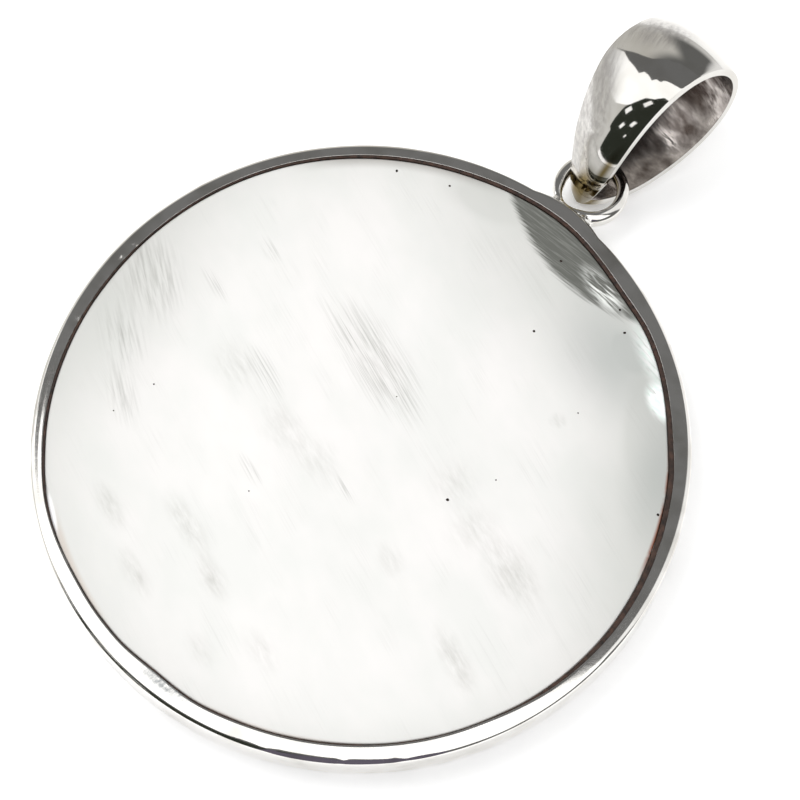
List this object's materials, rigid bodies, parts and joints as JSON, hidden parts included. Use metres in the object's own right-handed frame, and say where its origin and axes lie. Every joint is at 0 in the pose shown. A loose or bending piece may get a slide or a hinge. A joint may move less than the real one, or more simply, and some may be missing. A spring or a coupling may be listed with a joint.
{
  "type": "round shell pendant",
  "caption": "Round slab of shell cemented in a polished silver rim, with a soldered jump ring and a tapered, domed bail, lying on its front.",
  "frame": {"origin": "centre of the front face, which the pendant lies on", "axes": "+Z out of the back, up as it lies; +Y from the disc's centre to the jump ring and the bail; +X to the right"},
  "size_m": [0.045, 0.0601, 0.0105],
  "materials": {
    "shell": "satin, cut and sanded back of a pearl shell",
    "cement": "matte",
    "bezel_silver": "polished silver with light scratches",
    "bail_silver": "mirror-polished silver"
  },
  "bodies": {
    "root": {"shell_disc": "shell", "cement": "cement", "bezel": "bezel_silver", "bail": "bail_silver"}
  },
  "joints": []
}
